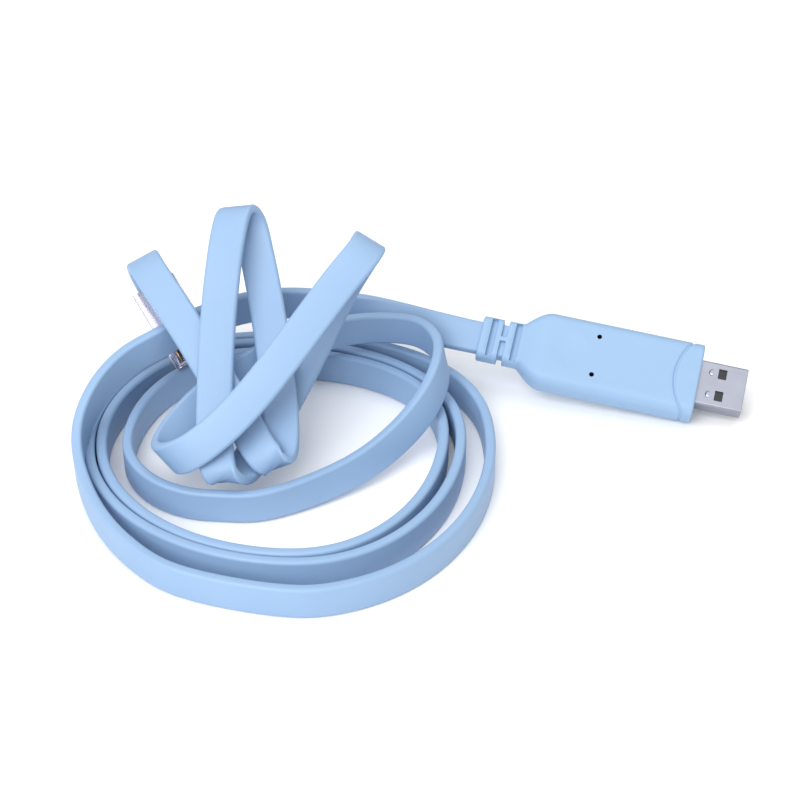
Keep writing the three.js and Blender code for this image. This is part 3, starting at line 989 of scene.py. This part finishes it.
@dataclass
class UsbPlug:
    """The USB plug: housing with strain relief, shell with its dimples, and contacts.

    The insulator inside the shell stays as the CAD has it. The plug's own frame has +X to the
    tip, y across and +Z on the face with the light holes, and the housing's nose is at x = 0.
    The groove's middle lies farther from the nose than its ends.
    """

    pose: Pose = Pose((0.0216, -0.00407, 0.00793), 30.3, 5.9, -12.2)
    length: float = 45.6 * MM
    size: Size = (9.85 * MM, 4.5 * MM, 2.6 * MM)
    shoulder: float = 7.0 * MM
    nose_round: float = 0.55 * MM
    ring_steps: tuple[int, int, int] = (6, 10, 72)
    relief_length: float = 10.6 * MM
    relief_size: Size = (5.8 * MM, 2.85 * MM, 2.0 * MM)
    relief_lip: float = 0.5 * MM
    lead_in: float = 0.8 * MM
    lead_gap: float = 0.3 * MM
    lead_straight: float = 5.8 * MM
    face_slots: tuple[float, float] = (3.1 * MM, 9.35 * MM)
    slot_width: float = 1.45 * MM
    slot_depth: float = 1.6 * MM
    slot_half: float = 5.2 * MM
    notch: tuple[float, float] = (5.3 * MM, 6.7 * MM)
    core_size: Size = (4.4 * MM, 1.8 * MM, 0.6 * MM)
    web_half: float = 0.55 * MM
    wall_rings: tuple[float, ...] = (-0.14 * MM, -0.05 * MM, 0.0, 0.05 * MM, 0.14 * MM)
    wall_half: float = 0.07 * MM
    bow_from: float = 12.0 * MM
    groove_edge: float = 2.7 * MM
    groove_middle: float = 6.2 * MM
    groove_half: float = 0.62 * MM
    groove_depth: float = 0.36 * MM
    hole_radius: float = 0.62 * MM
    hole_floor: float = 1.8 * MM
    holes: tuple[float, float] = (-26.5 * MM, 5.25 * MM)
    dish: tuple[float, float, float] = (-33.2 * MM, 4.8 * MM, 0.28 * MM)
    pocket_gap: float = 0.12 * MM
    pocket_edge: float = 0.7 * MM
    pocket_bevel: float = 0.15 * MM
    pocket_depth: float = 3.2 * MM
    shell_half: tuple[float, float] = (6.0 * MM, 2.25 * MM)
    shell_out: float = 11.8 * MM
    shell_in: float = 2.6 * MM
    shell_wall: float = 0.3 * MM
    shell_corner: float = 0.6 * MM
    shell_lip: float = 0.12 * MM
    latch_hole: tuple[float, float] = (2.1 * MM, 2.7 * MM)
    latch_from_tip: float = 5.15 * MM
    latch_offset: float = 3.0 * MM
    dimple_at: float = 3.1 * MM
    dimple_radius: float = 0.95 * MM
    dimple_height: float = 0.34 * MM
    tongue_height: float = 1.9 * MM
    contact_size: tuple[float, float, float] = (7.4 * MM, 1.0 * MM, 0.2 * MM)
    contact_from_tip: float = 1.4 * MM
    contact_y: tuple[float, ...] = (-3.5 * MM, -1.0 * MM, 1.0 * MM, 3.5 * MM)

    def lead_rows(self) -> list[Row]:
        """Gives the lead's first rows, straight out of the strain relief.

        Returns:
            The rows, from inside the relief outwards.
        """
        end = -self.length - self.relief_length
        ways = (self.lead_in, -self.lead_gap, -self.lead_straight)
        return [self.pose.row(end + way, 1) for way in ways]

    def exit(self) -> Vector:
        """Where the lead leaves the strain relief."""
        end = -self.length - self.relief_length
        return self.pose.matrix() @ Vector((end - self.lead_gap, 0, 0))

    def housing(self, finish: Material, dark: Material) -> Object:
        """Makes the housing with its strain relief as one skin over rings.

        Args:
            finish: The moulding's material.
            dark: The painted shade that lines the walls and floors of the light holes.

        Returns:
            The piece, where it lies.
        """
        piece = ring_object("usb_housing", [self._ring(at) for at in self._stations()], 50)
        dress(piece, finish)
        pegs = [self._peg(self.holes[0], side * self.holes[1]) for side in (-1, 1)]
        # The pegs carry the painted shade, which the cut leaves on the walls and floors of the light
        # holes.
        for peg in pegs:
            dress(peg, dark)
        cut(piece, pegs)
        shade(piece, 50)
        set_rest(piece, vertices_of(piece))
        self.pose.settle(piece)
        return piece

    def _peg(self, x: float, y: float) -> Object:
        """Makes a round peg that cuts one light hole in the upper face.

        Args:
            x: The hole's place along the plug.
            y: Its place across.

        Returns:
            The peg, from the hole's floor to above the face.
        """
        outline = circle(self.hole_radius, 24) + (x, y)
        heights = (self.hole_floor, self.size[1] + 1.5 * MM)
        rings = [np.column_stack([outline, np.full(len(outline), z)]) for z in heights]
        return ring_object("peg", rings, 40)

    def _stations(self) -> list[Station]:
        """The housing's rings, from the lead's end to the bottom of the shell's pocket."""
        return [*self._relief(), *self._handle(), *self._nose(), *self._pocket()]

    def _relief(self) -> list[Station]:
        """The strain relief's rings: its rounded end, then its slots and its notch.

        Returns:
            The rings in order along x.
        """
        start = -self.length - self.relief_length
        w, h, r = self.relief_size
        out = []
        for angle in (math.pi / 2 * k / 4 for k in range(5)):
            inset = self.relief_lip * (1 - math.sin(angle))
            x = start + self.relief_lip * (1 - math.cos(angle))
            out.append(Station(x, (w - inset, h - inset, r - 0.6 * inset)))
        half = self.slot_width / 2
        first, last = (start + at for at in self.face_slots)
        return [
            *out,
            *self._walls(first - half, first + half, Form.SLOT),
            *self._walls(start + self.notch[0], start + self.notch[1], Form.NOTCH),
            *self._walls(last - half, last + half, Form.SLOT),
        ]

    def _walls(self, low: float, high: float, form: Form) -> list[Station]:
        """Rings at both walls of a cut across the strain relief.

        Args:
            low: The first wall's x.
            high: The second wall's x.
            form: The cut's form.

        Returns:
            The rings in order along x.
        """
        out = []
        for wall, sign in ((low, 1), (high, -1)):
            for offset in self.wall_rings:
                depth = smoothstep((sign * offset / self.wall_half + 1) / 2)
                out.append(Station(wall + offset, self.relief_size, form, depth))
        return out

    def _handle(self) -> list[Station]:
        """The rings of the shoulder, which grows as a quarter of a sine, and of the faces.

        Returns:
            The rings in order along x.
        """
        steps, spacing = 24, 0.6 * MM
        out = []
        for k in range(1, steps + 1):
            grown = math.sin(math.pi / 2 * k / steps)
            size = tuple(a + (b - a) * grown for a, b in zip(self.relief_size, self.size))
            out.append(Station(-self.length + self.shoulder * k / steps, size))
        faces = np.arange(-self.length + self.shoulder + spacing, -self.bow_from, spacing)
        return out + [Station(float(x), self.size, Form.DISH) for x in faces]

    def _nose(self) -> list[Station]:
        """The rings round the groove and the nose's rounded edge.

        Returns:
            The rings in order along x.
        """
        groove, edge = -self.groove_middle, self.nose_round
        before = np.arange(-self.bow_from, groove - 0.8 * MM, 0.5 * MM)
        after = np.linspace(groove + 1.2 * MM, -edge, 8)[:-1]
        out = [Station(float(x), self.size, Form.NOSE) for x in before]
        for s in np.linspace(-1, 1, 15):
            depth = 0.5 + 0.5 * math.cos(math.pi * s)
            out.append(Station(groove + float(s) * self.groove_half, self.size, Form.NOSE, depth))
        out += [Station(float(x), self.size, Form.NOSE) for x in after]
        w, h, r = self.size
        for angle in (math.pi / 2 * k / 5 for k in range(6)):
            inset = edge * (1 - math.cos(angle))
            size = (w - inset, h - inset, r - 0.5 * inset)
            out.append(Station(-edge + edge * math.sin(angle), size, Form.NOSE))
        return out

    def _pocket(self) -> list[Station]:
        """The rings of the pocket that holds the shell.

        Returns:
            The rings from its mouth inwards.
        """
        w, h = (half + self.pocket_gap for half in self.shell_half)
        bevel, edge = self.pocket_bevel, self.pocket_edge
        mouth = Station(0.0, (w + bevel, h + bevel, edge + 0.1 * MM))
        return [mouth, *(Station(x, (w, h, edge)) for x in (-bevel, -self.pocket_depth))]

    def _ring(self, at: Station) -> np.ndarray:
        """Shapes one ring by its form.

        Args:
            at: The ring's place, size and form.

        Returns:
            Its corners, shaped (corners, 3).
        """
        w, h, r = at.size
        ring = rounded_ring(at.size, self.ring_steps)
        xs: Any = at.x
        if at.form is Form.SLOT:
            floor = h - self.slot_depth * at.depth
            inside = np.abs(ring[:, 0]) < self.slot_half
            ring[:, 1] = np.where(inside, np.clip(ring[:, 1], -floor, floor), ring[:, 1])
        elif at.form is Form.NOTCH:
            core = rounded_ring(self.core_size, self.ring_steps)
            ring = core * at.depth + ring * (1 - at.depth)
            web = np.abs(ring[:, 0]) < self.web_half
            ring[web, 1] = np.sign(ring[web, 1]) * h
        elif at.form is Form.DISH:
            ring[:, 1] -= self._sunk(at.x, ring)
        elif at.form is Form.NOSE:
            xs = at.x + self._bow(at.x, ring[:, 0] / w)
            normal = ring - np.clip(ring, [-(w - r), -(h - r)], [w - r, h - r])
            size = np.linalg.norm(normal, axis=1)[:, None]
            ring = ring - normal / np.maximum(size, 1e-9) * self.groove_depth * at.depth
        return at_x(xs, ring)

    def _bow(self, x: float, across: np.ndarray) -> np.ndarray:
        """Finds how far a ring bows towards the tip, so that the groove is an arc.

        Args:
            x: The ring's place.
            across: Each corner's y as a share of the half width.

        Returns:
            The way along x for each corner.
        """
        if x <= -self.groove_middle:
            share = smoothstep((x + self.bow_from) / (self.bow_from - self.groove_middle))
        else:
            share = smoothstep(-x / self.groove_middle)
        return (self.groove_middle - self.groove_edge) * share * np.abs(across) ** 2

    def _sunk(self, x: float, ring: np.ndarray) -> np.ndarray:
        """Finds how deep the thumb dish is at the corners of a ring.

        Args:
            x: The ring's place.
            ring: Its corners' y and z.

        Returns:
            The depth for each corner, 0 off the upper face.
        """
        centre, radius, deep = self.dish
        far = ((x - centre) ** 2 + ring[:, 0] ** 2) / radius**2
        return deep * np.clip(1 - far, 0, 1) ** 0.8 * (ring[:, 1] > self.size[1] * 0.98)

    def shell(self, finish: Material) -> Object:
        """Makes the folded steel shell with its latch holes.

        Args:
            finish: The shell's material.

        Returns:
            The piece, where it lies.
        """
        a, b = self.shell_half
        tip, lip, wall = self.shell_out, self.shell_lip, self.shell_wall
        # How far along x and how far inside the outer face each ring of the sheet lies.
        sheet = (
            (-self.shell_in, 0.0),
            (tip - lip, 0.0),
            (tip - 0.3 * lip, 0.35 * lip),
            (tip, lip),
            (tip, wall - lip),
            (tip - lip, wall),
            (-self.shell_in, wall),
        )
        rings = []
        for x, inset in sheet:
            size = (a - inset, b - inset, max(self.shell_corner - inset, lip))
            rings.append(at_x(x, rounded_ring(size, (4, 8, 12))))
        piece = ring_object("usb_shell_sheet", rings, 40, closed_along=True)
        end, through = tip - self.latch_from_tip, 4 * MM
        tools = []
        for y in (-self.latch_offset, self.latch_offset):
            low = (end - self.latch_hole[0], y - self.latch_hole[1] / 2, -through)
            tools.append(block(low, (end, y + self.latch_hole[1] / 2, through)))
        cut(piece, tools)
        shade(piece, 40)
        weigh_normals(piece)
        set_rest(piece, vertices_of(piece))
        dress(piece, finish)
        self.pose.settle(piece)
        return piece

    def dimples(self, tree: NodeTree, finish: Material) -> Object:
        """Makes the half-moon dimples pressed into the shell near its root.

        Args:
            tree: The tree that row_tree made.
            finish: The shell's material.

        Returns:
            The piece, where it lies.
        """
        steps, rows = 14, 5
        points = []
        for up in (math.pi / 2 * i / rows for i in range(rows + 1)):
            radius, lift = self.dimple_radius * math.cos(up), self.dimple_height * math.sin(up)
            for angle in (math.pi / 2 + math.pi * k / steps for k in range(steps + 1)):
                points.append((radius * math.cos(angle), radius * math.sin(angle), lift))
        grid = np.arange(len(points)).reshape(rows + 1, steps + 1).tolist()
        faces = [
            (low[k], high[k], high[k + 1], low[k + 1])
            for low, high in zip(grid, grid[1:])
            for k in range(steps)
        ]
        faces.append((*(row[0] for row in grid), *(row[-1] for row in grid[-2::-1])))
        dome = mesh_object("dimple", np.array(points), faces, 50)
        height = self.shell_half[1] - 0.03 * MM
        places = [(self.dimple_at, y, height) for y in (-self.latch_offset, self.latch_offset)]
        piece = copies("usb_shell_dimples", places, dome, tree, finish)
        set_rest(piece, vertices_of(piece))
        self.pose.settle(piece)
        return piece

    def contacts(self, tree: NodeTree, finish: Material) -> Object:
        """Makes the four contacts on the insulator's underside.

        Args:
            tree: The tree that row_tree made.
            finish: The contacts' material.

        Returns:
            The piece, where it lies.
        """
        long, _, high = self.contact_size
        x = self.shell_out - self.contact_from_tip - long / 2
        z = self.shell_half[1] - self.shell_wall - self.tongue_height - high / 2
        bar = rounded_bar("contact", self.contact_size, 0.06 * MM)
        piece = copies("usb_contacts", [(x, y, z) for y in self.contact_y], bar, tree, finish)
        self.pose.settle(piece)
        return piece


def rounded_bar(name: str, size: tuple[float, float, float], edge: float) -> Object:
    """Makes a small bar with softened edges about its own middle.

    Args:
        name: The bar's name.
        size: Its length in x, y and z.
        edge: How far its edges are rounded.

    Returns:
        The bar.
    """
    half, wide, high = (s / 2 for s in size)
    rings = []
    for x, inset in ((-half, edge), (-half + edge, 0), (half - edge, 0), (half, edge)):
        ring = rounded_ring((wide - inset, high - inset * 0.8, edge), (1, 3, 2))
        rings.append(at_x(x, ring))
    return ring_object(name, rings, 50)


def copies(
    name: str, places: Sequence[Sequence[float]], piece: Object, tree: NodeTree, finish: Material
) -> Object:
    """Makes one object of a copy of piece at each place, and removes piece.

    Args:
        name: The new object's name.
        places: Where the copies go.
        piece: The piece to copy.
        tree: The tree that row_tree made.
        finish: The copies' material.

    Returns:
        The new object, with its places in its mesh.
    """
    made = mesh_object(name, np.array(places), [])
    grow(made, tree, {"Piece": piece, "Material": finish})
    bpy.data.objects.remove(piece)
    return made


@dataclass
class ModularPlug:
    """The clear eight-way plug: body with its latch, blades and conductor ends.

    Its own frame has +X to the front, y across and +Z on the face with the blades. Its rear
    opening is at x = 0.
    """

    pose: Pose = Pose((-0.1159, 0.0127, 0.0267), 33.6, 42.4, -45.5)
    length: float = 21.5 * MM
    half_height: float = 3.25 * MM
    jacket_in: float = 10.0 * MM
    pitch: float = 1.02 * MM
    blade: tuple[float, float] = (5.6 * MM, 0.35 * MM)
    blade_from_front: float = 1.2 * MM
    blade_sunk: float = 0.5 * MM
    soft_edge: float = 0.09 * MM
    core_gap: float = 0.3 * MM
    core_radius: float = 0.45 * MM
    core_length: float = 9.3 * MM

    def lead_rows(self) -> list[Row]:
        """The lead's last rows, in the plug's throat."""
        return [self.pose.row(0.0, -1), self.pose.row(self.jacket_in, -1)]

    def body(self, node: Object, finish: Material) -> Object:
        """Makes the clear body from its CAD solid, with softened moulded edges.

        Args:
            node: The body's CAD node.
            finish: The body's material.

        Returns:
            The piece, where it lies.
        """
        piece = add_object("modular_plug_body", node.data.copy())
        weld = piece.modifiers.new("weld", "WELD")
        weld.merge_threshold = 0.01 * MM
        flat = piece.modifiers.new("flatten", "DECIMATE")
        flat.decimate_type, flat.angle_limit = "DISSOLVE", math.radians(2)
        soft = piece.modifiers.new("soften", "BEVEL")
        soft.width, soft.segments, soft.limit_method = self.soft_edge, 2, "ANGLE"
        soft.angle_limit = math.radians(40)
        bake(piece)
        shade(piece, 35)
        dress(piece, finish)
        return piece

    def blades(self, tree: NodeTree, finish: Material) -> Object:
        """Makes the eight gold blades in their slots.

        Args:
            tree: The tree that row_tree made.
            finish: The blades' material.

        Returns:
            The piece, where it lies.
        """
        long, wide = self.blade
        low, high = self.core_radius + 0.05 * MM, self.half_height - self.blade_sunk
        bar = rounded_bar("blade", (long, wide, high - low), 0.08 * MM)
        x = self.length - self.blade_from_front - long / 2
        places = [(x, y, (low + high) / 2) for y in self._across()]
        piece = copies("modular_plug_blades", places, bar, tree, finish)
        self.pose.settle(piece)
        return piece

    def _across(self) -> list[float]:
        """Where the eight ways lie across the plug."""
        return [(k - 3.5) * self.pitch for k in range(8)]

    def conductors(self, tree: NodeTree) -> list[Object]:
        """Makes the eight conductor ends, each in its colour.

        Args:
            tree: The tree that row_tree made.

        Returns:
            The pieces, where they lie, in order across the plug.
        """
        tip = self.core_length
        # Each ring's place along a conductor, and its share of the radius.
        outline = ((0, 1), (tip - 0.08 * MM, 1), (tip, 0.85), (tip, 0.4))
        out = []
        for y, colour in zip(self._across(), Conductor):
            rings = [at_x(x, circle(self.core_radius * share, 20)) for x, share in outline]
            rod = ring_object("rod", rings, 50)
            name = colour.name.lower()
            place = [(self.jacket_in + self.core_gap, y, 0)]
            finish = conductor_finish(name, *colour.value).material()
            piece = copies(f"conductor_{name}", place, rod, tree, finish)
            self.pose.settle(piece)
            out.append(piece)
        return out


# The studio


@dataclass
class Studio:
    """A pale sweep of floor, soft light and the camera at the photograph's angle."""

    target: tuple[float, float, float] = (-0.0535, -0.0004, 0.0)
    distance: float = 0.480
    elevation: float = 38.0
    lens: float = 84.15
    sensor: float = 36.0
    room_light: float = 0.6
    box_size: float = 0.9
    boxes: tuple[tuple[str, tuple[float, float, float], float], ...] = (
        ("top_box", (0.0, 0.1, 1.0), 3.6),
        ("front_box", (-0.45, -0.8, 0.85), 13.0),
    )

    def camera(self) -> Object:
        """Sets the scene's camera, looking along +Y and down by the elevation.

        Returns:
            The camera.
        """
        data = bpy.data.cameras.new("camera")
        data.lens, data.sensor_width = self.lens, self.sensor
        data.clip_start, data.clip_end = 0.01, 20
        made = add_object("camera", data)
        tilt = math.radians(self.elevation)
        back = Vector((0, -math.cos(tilt), math.sin(tilt)))
        made.location = Vector(self.target) + back * self.distance
        made.rotation_euler = (math.pi / 2 - tilt, 0, 0)
        bpy.context.scene.camera = made
        return made

    def floor(self) -> Object:
        """Lays the pale floor just under the object and keeps it out of the object.

        Returns:
            The floor.
        """
        side, below = 6.0, -0.0001
        points = [(x * side, y * side, below) for x, y in ((-1, -1), (1, -1), (1, 1), (-1, 1))]
        made = mesh_object("floor", np.array(points), [(0, 1, 2, 3)])
        finish = bpy.data.materials.new("paper_sweep_matt")
        finish.use_nodes = True
        shader = finish.node_tree.nodes["Principled BSDF"]
        shader.inputs["Base Color"].default_value = srgb("#FBFBFC")
        shader.inputs["Roughness"].default_value = 0.9
        dress(made, finish)
        return made

    def light(self) -> None:
        """Hangs two soft boxes and gives the room an even white."""
        world = bpy.data.worlds.new("room")
        world.use_nodes = True
        room = world.node_tree.nodes["Background"].inputs
        room["Color"].default_value = srgb("#FFFFFF")
        room["Strength"].default_value = self.room_light
        bpy.context.scene.world = world
        target = Vector(self.target)
        for name, place, power in self.boxes:
            data = bpy.data.lights.new(name, "AREA")
            data.energy, data.size = power, self.box_size
            made = add_object(name, data)
            made.location = place
            made.rotation_euler = (target - Vector(place)).to_track_quat("-Z", "Y").to_euler()
        view = bpy.context.scene.view_settings
        view.view_transform = "Standard"
        view.look = "None"


# The whole


def seat(piece: Object, slot: str, *nodes: str) -> None:
    """Fixes a finished piece to the part.

    Args:
        piece: The piece.
        slot: The name of a material slot, not used.
        nodes: The CAD nodes that it stands for, none where it only adds to another piece.
    """
    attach(piece, "root")
    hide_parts(*nodes)
    LOG.info("%s: %d faces for %s", piece.name, len(piece.data.polygons), ", ".join(nodes))


def main() -> None:
    """Builds the studio, the two plugs and the lead, and reports each piece."""
    logging.basicConfig(level=logging.INFO, format="%(name)s %(message)s")
    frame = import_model()
    studio = Studio()
    studio.camera()
    studio.light()
    studio.floor()

    moulded, extruded = MOULDED_PVC.material(), LEAD_PVC.material()
    steel, gold, nylon = NICKEL_STEEL.material(), GOLD_PLATE.material(), BLACK_NYLON.material()
    clear = CLEAR_POLYCARBONATE.material()
    row = row_tree()

    usb = UsbPlug()
    # The housing's second material is painted shade for its light holes.
    seat(usb.housing(moulded, LIGHT_HOLE_SHADE.material()), "soft_pvc", "usb_overmould")
    seat(usb.shell(steel), "nickel_steel", "usb_shell")
    seat(usb.dimples(row, steel), "nickel_steel")
    seat(usb.contacts(row, gold), "gold_plate", *(f"usb_contact_{i}" for i in range(1, 5)))
    dress(frame["nodes"]["usb_tongue"], nylon)

    plug = ModularPlug()
    body = plug.body(frame["nodes"]["rj45_body"], clear)
    seat(body, "clear_polycarbonate", "rj45_body")
    blades = plug.blades(row, gold)
    seat(blades, "gold_plate", *(f"rj45_contact_{i}" for i in range(1, 9)))
    ends = plug.conductors(row)
    for i, (end, colour) in enumerate(zip(ends, Conductor), 1):
        seat(end, f"core_{colour.name.lower()}", f"rj45_core_{i}")

    lead = FlatLead()
    rows = lead.rows(usb.lead_rows(), plug.lead_rows())
    ribbon, line = lead.build(rows, extruded)
    seat(ribbon, "soft_pvc", "flat_cable")
    usb.exit()


if __name__ == "__main__":
    main()
